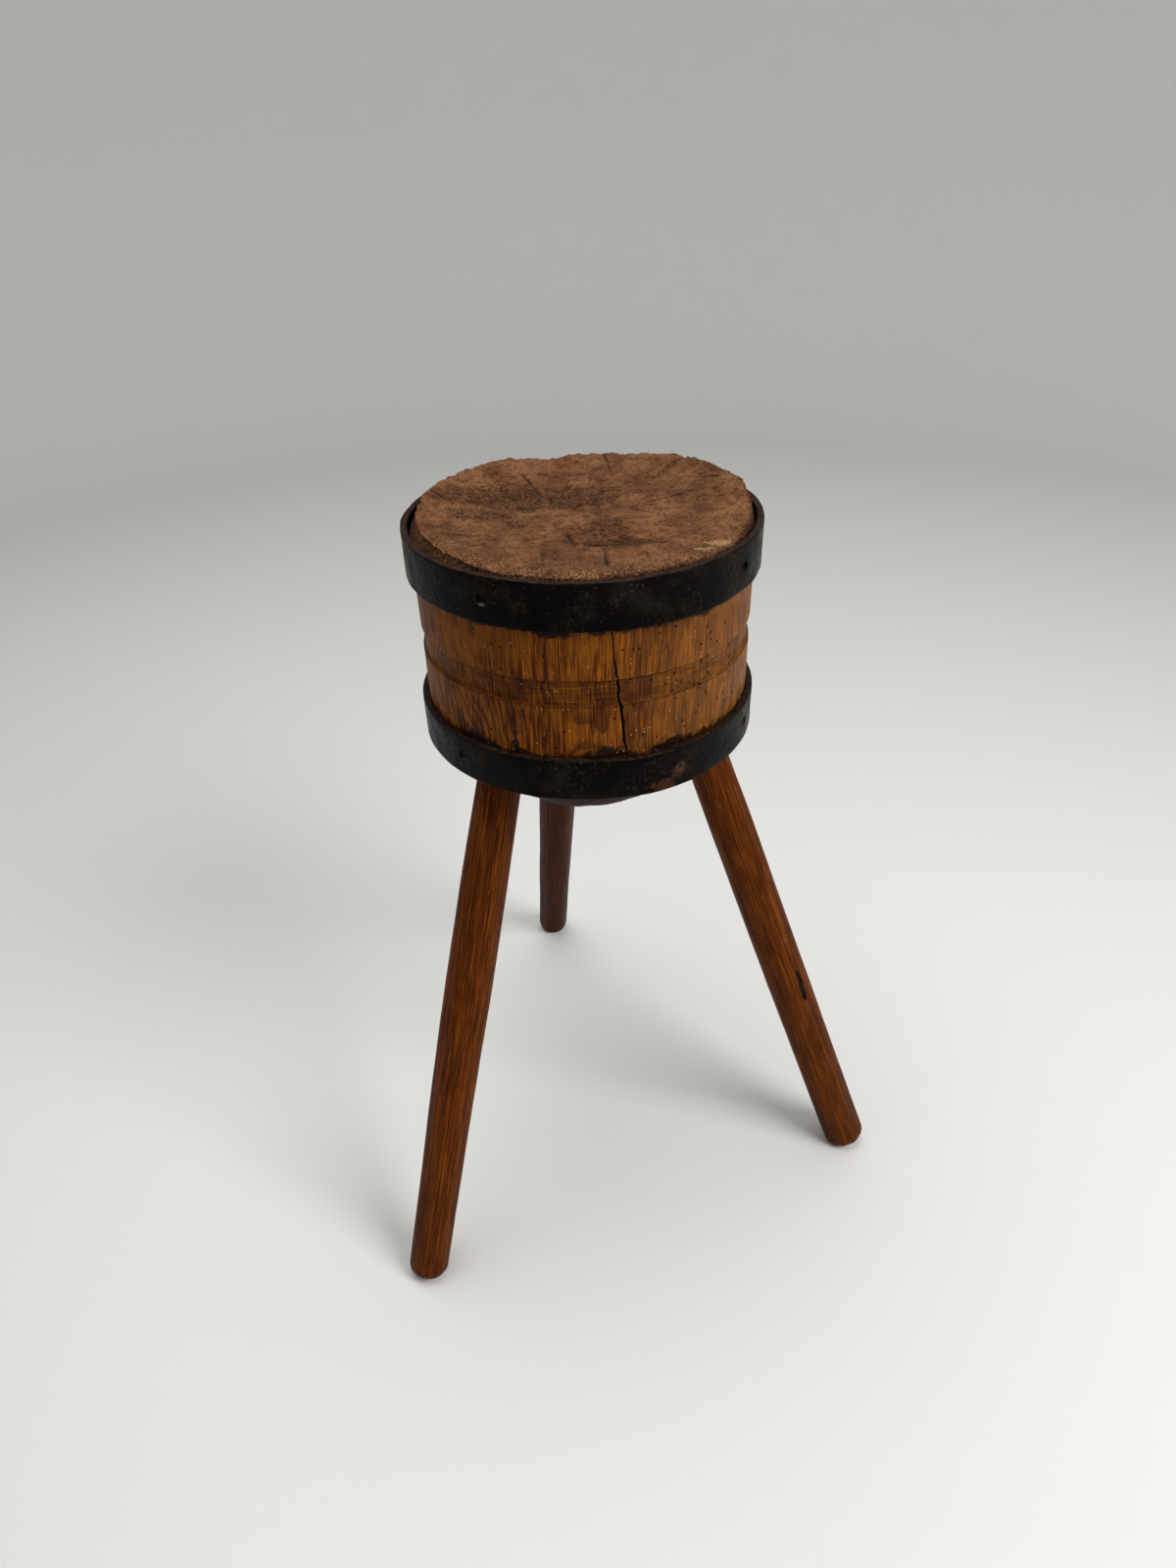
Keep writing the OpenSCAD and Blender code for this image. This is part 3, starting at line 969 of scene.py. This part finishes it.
def makeRivet(name, hoop, seed):  # a low hammered head on a shank through the lap
    spec = hoops[hoop]
    mid = hoopMiddle(spec)
    deselectAll()
    bpy.ops.mesh.primitive_uv_sphere_add(segments=40, ring_count=24, radius=1)
    piece = newPiece(name)
    for v in piece.data.vertices:
        if v.co.z >= -0.01:  # the upper half is the head
            flat = math.hypot(v.co.x, v.co.y)
            swell = 1 + 0.09 * lumps(v.co.x * 2, v.co.y * 2, 0, 1.0, seed)
            dents = 0.22 * lumps(v.co.x * 2.4, v.co.y * 2.4, 0, 1.0, seed + 2)
            wide = rivets["head"] * swell
            v.co = Vector((v.co.x * wide, v.co.y * wide, rivets["lift"] * (1 - flat ** 4) + dents))
        else:  # the lower half is drawn in to the shank
            flat = max(math.hypot(v.co.x, v.co.y), 1e-6)
            deep = smoothstep(0, 0.35, -v.co.z)
            ring = mix(rivets["head"], rivets["shank"], deep) * (flat if v.co.z < -0.5 else 1)
            z = -0.4 - 8.5 * min(deep * -v.co.z * 1.3, 1)
            v.co = Vector((v.co.x / flat * ring, v.co.y / flat * ring, z))
    outer = hoopFace(spec, spec["rivet"], mid)
    piece.data.transform(aimed(onSide(spec["rivet"], outer - 0.1, mid), onSide(spec["rivet"], 1, 0)))
    fixNormals(piece)
    return piece


def makeFaceWood():  # end grain, chopped, greasy and dark
    material, tree, shader = newMaterial("choppedEndGrain")
    point = blockPoint(tree)
    wear = addNode(tree, "ShaderNodeAttribute", attribute_name="wear").outputs["Fac"]
    broad = noiseNode(tree, point, 24.0, 5.0, 0.62)
    crumb = noiseNode(tree, point, 520.0, 5.0, 0.8)
    clods = noiseNode(tree, point, 210.0, 4.0, 0.7)
    # the worn hollows: the crumbs are coarser there, and the colour is darkened as painted shade
    hollow = spotMasks(tree, point, [
        ((-60, 36, 0), (48, 32, 40)), ((-4, 42, 0), (46, 26, 40)), ((20, -34, 0), (20, 36, 40)),
        ((30, -64, 0), (34, 12, 40)), ((-84, 0, 0), (30, 16, 40)),
    ], 1.5)
    coarse = timesPlus(tree, hollow, 0.65, 0.4)
    darkCrumb = times(tree, rangeNode(tree, crumb, 0.44, 0.52, 1.0, 0.0), coarse)
    darkClods = times(tree, rangeNode(tree, clods, 0.43, 0.48, 1.0, 0.0), coarse)
    hatch = []
    for turn, along in ((8, 0.14), (-32, 0.16), (66, 0.16)):  # fine chop lines, three ways
        lines = noiseNode(tree, stretchNode(tree, point, turn, (along, 1, 1)), 900.0, 2.0, 0.6)
        hatch.append(rangeNode(tree, lines, 0.64, 0.72))
    where = rangeNode(tree, noiseNode(tree, point, 30.0, 2.0, 0.5), 0.42, 0.6, 0.0, 0.3)
    hatch = times(tree, strongest(tree, hatch), where)
    proud = rangeNode(tree, wear, 0.4, 0.85)
    # painted shade: darker where the face lies low, in its pits and cuts
    low = rangeNode(tree, wear, 0.2, 0.52, 1.0, 0.0)
    low = times(tree, low, rangeNode(tree, crumb, 0.4, 0.58, 1.0, 0.35))
    fibres = rangeNode(tree, noiseNode(tree, point, 560.0, 4.0, 0.7), 0.56, 0.62)
    front = rangeNode(tree, pointParts(tree, point)["Y"], 0.0, -0.11)
    far = vectorNode(tree, "LENGTH", scaled(tree, point, (1, 1, 0)))
    rim = times(tree, rangeNode(tree, far, 0.1, 0.134), front)
    torn = spotMasks(tree, point, [((-84, 6, 0), (36, 20, 40)), ((-60, -4, 0), (30, 12, 40))], 1.2)
    pits = times(tree, rim, rangeNode(tree, crumb, 0.44, 0.5, 0.85, 0.0))
    rim = strongest(tree, [rim, times(tree, torn, 0.6)])
    flecks = times(tree, fibres, timesPlus(tree, rim, 0.7, 0.22))
    bare = spotMasks(tree, point, [((107, -80, 0), (12, 7, 30)), ((92, -90, 0), (9, 4, 30))], 2.4)
    bare = times(tree, bare, rangeNode(tree, crumb, 0.36, 0.58, 0.15, 0.85))
    cuts = strongest(tree, [placeGroup(tree, fineCut, {
        "Vector": point, "Start": (ax * mm, ay * mm, 0), "End": (bx * mm, by * mm, 0),
        "Width": width * 0.5 * mm,
    })["Mask"] for ax, ay, bx, by, width, depth in block["cuts"]])
    # painted shade on the rim's outer slope, where it drops into the gap by the upper hoop
    rimSlopeShade = rangeNode(tree, crumb, 0.42, 0.6, 0.95, 0.3)
    rimSlopeShade = times(tree, rangeNode(tree, far, 0.1365, 0.1395), rimSlopeShade)
    colour = layers(tree, rampNode(tree, broad, [
        (0.36, (0.13, 0.05, 0.02)), (0.48, (0.245, 0.098, 0.039)), (0.6, (0.38, 0.165, 0.072)),
    ]), [
        (darkCrumb, 1, (0.03, 0.010, 0.003)), (darkClods, 1, (0.035, 0.012, 0.004)),
        (hatch, 1, (0.03, 0.011, 0.005)), (proud, 0.35, (0.36, 0.17, 0.078)),
        # painted shade: darker in the pits and cuts, and in the worn hollows
        (low, 0.75, (0.035, 0.013, 0.006)), (hollow, 0.4, (0.05, 0.019, 0.007)),
        (pits, 1, (0.03, 0.011, 0.004)), (flecks, 1, (0.62, 0.33, 0.13)), (bare, 1, (0.6, 0.37, 0.18)),
        # painted shade on the rim's outer slope
        (cuts, 0.8, (0.012, 0.005, 0.003)), (rimSlopeShade, 1, (0.025, 0.01, 0.004)),
    ])
    grit = timesPlus(tree, clods, 1.2, crumb)
    grit = timesPlus(tree, hatch, -0.4, grit)
    grit = timesPlus(tree, cuts, -0.6, grit)
    feed(tree, shader, {
        "Base Color": colour, "Roughness": rangeNode(tree, crumb, 0.3, 0.7, 0.85, 0.6), "IOR": 1.2,
        "Normal": bumpNode(tree, grit, 0.006),
    })
    return material


def makeSideWood():  # the old varnished side
    material, tree, shader = newMaterial("varnishedSide")
    point = blockPoint(tree)
    parts = pointParts(tree, point)
    grain = placeGroup(tree, woodGrain, {
        "Vector": point, "Fibre Scale": 900.0, "Stretch": 0.02, "Figure Scale": 17.0, "Rings": 15.0,
        "Sway": (0.01, 0.01, 0),
    })
    broad = noiseNode(tree, scaled(tree, point, (1, 1, 0.35)), 36.0, 3.0, 0.6)
    lowHalf = rangeNode(tree, parts["Z"], -0.09, -0.12)
    figure = times(tree, grain["Figure"], timesPlus(tree, lowHalf, 0.4, 0.25))
    # paler towards the right: partly paler, worm-eaten wood, partly painted light falling from the
    # right; it also brings more worm holes there
    right = rangeNode(tree, parts["X"], -0.02, 0.12)
    bandHigh, bandLow = (block["bandHigh"] - upperTop) * mm, (block["bandLow"] - upperTop) * mm
    soft = 0.0008
    band = times(tree, rangeNode(tree, parts["Z"], bandLow - soft, bandLow + soft),
                 rangeNode(tree, parts["Z"], bandHigh - soft, bandHigh + soft, 1.0, 0.0))
    turned = noiseNode(tree, scaled(tree, point, (0.03, 0.03, 1)), 900.0, 3.0, 0.65)
    scored = times(tree, band, rangeNode(tree, turned, 0.44, 0.56, 0.5, 0.0))
    # painted shade: dark lines along the turned band's two edges
    bandEdgeShade = []
    for z, size in ((bandHigh - 0.0004, 0.0011), (bandLow - 0.0004, 0.0009)):
        away = mathNode(tree, "ABSOLUTE", mathNode(tree, "SUBTRACT", parts["Z"], z))
        bandEdgeShade.append(rangeNode(tree, away, size * 0.4, size, 1.0, 0.0))
    edges = []
    for z, size in ((upperBottom, 4.0), (lowerTop, 3.2)):  # dark lines beside the hoops: partly iron stain, partly painted shade where the hoops meet the wood
        level = (z - upperTop) * mm
        away = mathNode(tree, "ABSOLUTE", mathNode(tree, "SUBTRACT", parts["Z"], level))
        ragged = noiseNode(tree, scaled(tree, point, (1, 1, 0.5)), 110.0, 5.0, 0.7)
        away = timesPlus(tree, mathNode(tree, "SUBTRACT", ragged, 0.5), -0.022, away)
        edges.append(rangeNode(tree, away, size * 0.5 * mm, size * mm, 1.0, 0.0))
    drips = spotMasks(tree, point, [(onSide(azimuth, 144, -below), size) for azimuth, below, size in (
        (-99.6, 42, (18, 8, 6)), (-50, 41, (20, 12, 5)), (-84, 152, (24, 12, 9)),
        (-114.5, 145, (4, 5, 15)), (-130, 151, (22, 22, 9)), (-61, 150, (24, 18, 5)),
    )], 2.2)
    holes = placeGroup(tree, scatteredHoles, {
        "Vector": point, "Scale": 150.0, "Radius": 0.2, "Amount": timesPlus(tree, right, 0.75, 0.12),
    })["Mask"]
    specks = placeGroup(tree, scatteredHoles, {
        "Vector": point, "Scale": 190.0, "Radius": 0.12, "Amount": 0.4,
    })["Mask"]
    colour = layers(tree, rampNode(tree, grain["Fibre"], [
        (0.38, (0.024, 0.005, 0.0005)), (0.49, (0.115, 0.026, 0.0014)), (0.6, (0.27, 0.082, 0.004)),
    ]), [
        (rangeNode(tree, broad, 0.46, 0.6, 0.0, 0.5), 1, (0.25, 0.078, 0.005)),
        (rangeNode(tree, broad, 0.38, 0.47, 0.5, 0.0), 1, (0.035, 0.0065, 0.0005)),
        (figure, 1, (0.018, 0.004, 0.0005)), (grain["Pores"], 0.75, (0.008, 0.002, 0.0005)),
        # paler to the right: partly paler wood, partly painted light
        (right, 0.3, (0.25, 0.11, 0.03)), (scored, 1, (0.03, 0.008, 0.0015)),
        # painted shade in the band's edges
        (strongest(tree, bandEdgeShade), 0.5, (0.02, 0.007, 0.002)),
        # partly iron stain, partly painted shade beside the hoops
        (strongest(tree, edges), 0.85, (0.011, 0.005, 0.003)),
        (drips, 0.92, (0.008, 0.004, 0.0025)), (holes, 1, (0.006, 0.003, 0.001)),
        (specks, 0.75, (0.6, 0.42, 0.22)),
    ])
    relief = times(tree, grain["Pores"], -0.5)
    relief = timesPlus(tree, grain["Fibre"], 0.5, relief)
    relief = timesPlus(tree, holes, -1.0, relief)
    relief = timesPlus(tree, times(tree, band, turned), 1.2, relief)
    feed(tree, shader, {
        "Base Color": colour, "Roughness": rangeNode(tree, grain["Fibre"], 0.3, 0.7, 0.5, 0.36),
        "IOR": 1.12, "Coat Weight": 0.04, "Coat Roughness": 0.15,
        "Normal": bumpNode(tree, relief, 0.0014),
    })
    return material


def makeRawWood():  # crack walls, sockets and the underside
    material, tree, shader = newMaterial("rawOldWood")
    point = blockPoint(tree)
    rough = noiseNode(tree, point, 90.0, 6.0, 0.65)
    feed(tree, shader, {
        "Base Color": rampNode(tree, rough, [
            (0.3, (0.012, 0.006, 0.004)), (0.55, (0.04, 0.018, 0.01)), (0.75, (0.09, 0.042, 0.022)),
        ]),
        "Roughness": rangeNode(tree, rough, 0.3, 0.7, 0.75, 0.95),
        "Normal": bumpNode(tree, noiseNode(tree, point, 400.0, 5.0, 0.7), 0.002),
    })
    return material


def makeHoopIron():  # old black iron under layers of oil and dust
    material, tree, shader = newMaterial("blackenedIron")
    point = blockPoint(tree)
    broad = noiseNode(tree, point, 30.0, 5.0, 0.62)
    fleck = rangeNode(tree, noiseNode(tree, point, 360.0, 5.0, 0.75), 0.54, 0.62)
    where = rangeNode(tree, noiseNode(tree, point, 34.0, 3.0, 0.6), 0.46, 0.6)
    fleck = times(tree, fleck, timesPlus(tree, where, 0.5, 0.05))
    # painted highlights: sparse pale specks on the iron stand in for glints of light
    paintedGlints = placeGroup(tree, scatteredHoles, {
        "Vector": point, "Scale": 260.0, "Radius": 0.14, "Amount": 0.1,
    })["Mask"]
    litLipHighlights = spotMasks(tree, point, [  # painted highlight on the lower lips of the nail holes, where light from above catches them
        (onSide(-121, 149, -23.4), (3.2, 3.2, 1.1)), (onSide(-136, 149, -174.3), (3.2, 3.2, 1.1)),
    ], 0.5)
    up = pointParts(tree, addNode(tree, "ShaderNodeNewGeometry").outputs["Normal"])["Z"]
    patchy = rangeNode(tree, noiseNode(tree, point, 210.0, 5.0, 0.7), 0.4, 0.62, 0.05, 0.85)
    dust = times(tree, rangeNode(tree, up, 0.35, 0.9), patchy)
    rust = [(onSide(-67, 148, -184), (15, 8, 6)), (onSide(-61, 150, -174), (9, 6, 8))]
    rust = spotMasks(tree, point, rust, 2.4)
    colour = layers(tree, rampNode(tree, broad, [
        (0.4, (0.0008, 0.0006, 0.0005)), (0.52, (0.0018, 0.0013, 0.001)), (0.7, (0.012, 0.008, 0.006)),
    ]), [
        # painted highlight specks
        (fleck, 1, (0.045, 0.026, 0.016)), (paintedGlints, 0.4, (0.2, 0.14, 0.1)),
        # painted highlights on the nail holes' lower lips
        (litLipHighlights, 0.8, (0.22, 0.17, 0.14)), (dust, 1, (0.036, 0.017, 0.01)),
        (rust, 0.45, (0.08, 0.026, 0.014)),
    ])
    rough = rangeNode(tree, noiseNode(tree, point, 60.0, 5.0, 0.65), 0.3, 0.7, 0.26, 0.5)
    relief = noiseNode(tree, point, 180.0, 5.0, 0.6)
    relief = mathNode(tree, "ADD", relief, times(tree, fleck, 0.5))
    feed(tree, shader, {
        "Base Color": colour, "Roughness": timesPlus(tree, dust, 0.3, rough), "IOR": 1.12,
        "Normal": bumpNode(tree, relief, 0.0007),
    })
    return material


def makeNailIron():  # worn heads, brown with rust
    material, tree, shader = newMaterial("rustyNail")
    rough = noiseNode(tree, blockPoint(tree), 330.0, 5.0, 0.7)
    feed(tree, shader, {
        "Base Color": rampNode(tree, rough, [
            (0.38, (0.003, 0.002, 0.0015)), (0.5, (0.02, 0.01, 0.007)), (0.66, (0.1, 0.05, 0.036)),
        ]),
        "Roughness": rangeNode(tree, rough, 0.3, 0.7, 0.4, 0.7), "IOR": 1.2,
        "Normal": bumpNode(tree, rough, 0.001),
    })
    return material


def makePoleWood():  # riven poles, stained red-brown and rubbed
    material, tree, shader = newMaterial("stainedPole")
    point = addNode(tree, "ShaderNodeAttribute", attribute_name="poleSpace").outputs["Vector"]
    grain = placeGroup(tree, woodGrain, {
        "Vector": point, "Fibre Scale": 760.0, "Stretch": 0.014, "Figure Scale": 34.0, "Rings": 6.0,
        "Sway": (0.003, 0.003, 0),
    })
    streaks = noiseNode(tree, scaled(tree, point, (1, 1, 0.14)), 60.0, 4.0, 0.6)
    scuffs = noiseNode(tree, scaled(tree, point, (1, 1, 0.5)), 150.0, 4.0, 0.65)
    holes = placeGroup(tree, scatteredHoles, {
        "Vector": point, "Scale": 80.0, "Radius": 0.07, "Amount": 0.14,
    })["Mask"]
    behind = pointParts(tree, blockPoint(tree))["Y"]
    behind = rangeNode(tree, behind, 0.03, 0.08, 0.0, 0.6)  # painted shade: the back pole is darker, as in the block's shadow
    colour = layers(tree, rampNode(tree, grain["Fibre"], [
        (0.36, (0.036, 0.007, 0.0005)), (0.49, (0.098, 0.021, 0.0011)), (0.62, (0.175, 0.046, 0.003)),
    ]), [
        (grain["Figure"], 0.3, (0.03, 0.007, 0.0007)), (grain["Pores"], 0.55, (0.012, 0.004, 0.001)),
        (rangeNode(tree, streaks, 0.52, 0.66, 0.0, 0.45), 1, (0.03, 0.006, 0.001)),
        (rangeNode(tree, scuffs, 0.63, 0.72), 0.4, (0.2, 0.075, 0.02)), (holes, 1, (0.01, 0.004, 0.002)),
        # painted shade on the back pole
        (behind, 1, (0.014, 0.003, 0.0004)),
    ])
    relief = timesPlus(tree, grain["Pores"], -0.7, grain["Fibre"])
    relief = timesPlus(tree, holes, -1.0, relief)
    feed(tree, shader, {
        "Base Color": colour, "Roughness": rangeNode(tree, grain["Fibre"], 0.3, 0.7, 0.5, 0.36),
        "IOR": 1.1, "Coat Weight": 0.03, "Coat Roughness": 0.2, "Normal": bumpNode(tree, relief, 0.0011),
    })
    return material


faceWood = makeFaceWood()
sideWood = makeSideWood()
rawWood = makeRawWood()
hoopIron = makeHoopIron()
nailIron = makeNailIron()
poleWood = makePoleWood()
print("finishes ready")


camera = {
    "back": 878.0,  # from the block's axis, in mm
    "height": 1024.5,
    "down": 33.49,
    "turn": -0.168,
    "tilt": 1.985,
    "lens": 24.95,
}


def makeCamera():
    deselectAll()
    bpy.ops.object.camera_add()
    eye = bpy.context.object
    eye.data.lens = camera["lens"]
    eye.data.sensor_width = 36
    eye.data.dof.use_dof = False
    place = axis + Vector((0, -camera["back"], camera["height"])) * mm
    turn = Matrix.Rotation(math.radians(-camera["turn"]), 4, "Z")
    turn = turn @ Matrix.Rotation(math.radians(90 - camera["down"]), 4, "X")
    turn = turn @ Matrix.Rotation(math.radians(-camera["tilt"]), 4, "Z")
    eye.matrix_world = Matrix.Translation(place) @ turn
    bpy.context.scene.camera = eye
    bpy.context.scene.view_settings.view_transform = "Standard"


studio = {
    "floorRadius": 2.6,
    "corner": 0.9,
    "wall": 2.6,
    "floorColour": (0.62, 0.62, 0.615),
    "world": (0.9, 0.9, 0.9),
    "worldStrength": 0.62,
    "lights": [  # (place, size, power, colour)
        ((1.5, -1.2, 2.2), 1.4, 62, (1.0, 0.98, 0.95)),
        ((-0.3, 0.2, 2.7), 2.2, 46, (1.0, 0.99, 0.97)),
        ((-2.0, -0.9, 1.6), 1.2, 2, (1.0, 0.99, 0.97)),
    ],
}


def makeStudio():
    deselectAll()
    bpy.ops.mesh.primitive_circle_add(vertices=128, radius=studio["floorRadius"], fill_type="NGON")
    sweep = newPiece("studioSweep")
    pickEdges(sweep, lambda a, b: True)
    corner, steps = studio["corner"], 14
    size, height = studio["floorRadius"], 0.0
    for i in range(1, steps + 1):  # the floor turns up into a wall round it
        turn = math.pi / 2 * i / steps
        newSize = studio["floorRadius"] + corner * math.sin(turn)
        newHeight = corner * (1 - math.cos(turn))
        extrudeDown(height - newHeight, newSize / size, newHeight)
        size, height = newSize, newHeight
    extrudeDown(-studio["wall"])
    objectMode()
    bpy.ops.object.shade_smooth_by_angle(angle=math.radians(30))
    material, tree, shader = newMaterial("paleFloor")
    shader["Base Color"].default_value = (*studio["floorColour"], 1)
    shader["Roughness"].default_value = 0.75
    sweep.data.materials.append(material)

    world = bpy.data.worlds.new("softSky")
    bpy.context.scene.world = world
    world.use_nodes = True
    sky = world.node_tree.nodes["Background"].inputs
    sky["Color"].default_value = (*studio["world"], 1)
    sky["Strength"].default_value = studio["worldStrength"]
    for place, size, power, colour in studio["lights"]:
        bpy.ops.object.light_add(type="AREA", location=place)
        lamp = bpy.context.object
        lamp.data.shape = "DISK"
        lamp.data.size = size
        lamp.data.energy = power
        lamp.data.color = colour
        lamp.rotation_euler = (Vector((0, 0, 0.45)) - Vector(place)).to_track_quat("-Z", "Y").to_euler()
        lamp.visible_camera = False
    print("studio ready")


makeStudio()
makeCamera()

choppingBlock = makeBlock()
outside = 6  # how far a crack's cutter stands out of the side
cutters = [
    makeWedge(block[path], sideRadius(upperBottom) + outside, block[depth] + outside)
    for path, depth in (("crack", "crackDepth"), ("hairCrack", "hairDepth"))
]
below = 30  # how far a socket's cutter starts under the block
for node in poles["legs"]:
    foot, along = poleAxis(node)
    start = foot + along * (underside / along.z - below)
    cutters.append(makeRod(start, start + along * (below + block["socketDepth"]), block["socketRadius"]))
for hoop, azimuth in nails["lost"]:
    mid = hoopMiddle(hoops[hoop])
    cutters.append(makeRod(onSide(azimuth, 125, mid), onSide(azimuth, 150, mid), nails["shank"]))
for cutter in cutters:
    cutterMaterial(cutter, 2)
cutAway(choppingBlock, cutters)
placeOnBlock(choppingBlock)
finishPiece(choppingBlock, "block", [faceWood, sideWood, rawWood], 60)
print("block ready", len(choppingBlock.data.polygons))

for key, name in (("upper", "hoopUpper"), ("lower", "hoopLower")):
    hoop = makeHoop(name, hoops[key])
    placeOnBlock(hoop)
    finishPiece(hoop, hoops[key]["node"], [hoopIron])
print("hoops ready")

for node, leg in poles["legs"].items():
    pole = makePole(node)
    placeOnBlock(pole)
    finishPiece(pole, node, [poleWood, rawWood] if "slot" in leg else [poleWood])
print("legs ready")

for node, given in nails["each"].items():
    nail = makeNail(*given)
    placeOnBlock(nail)
    finishPiece(nail, node, [hoopIron])
for node, given in rivets["each"].items():
    rivet = makeRivet(*given)
    placeOnBlock(rivet)
    finishPiece(rivet, node, [nailIron])
print("nails and rivets ready")
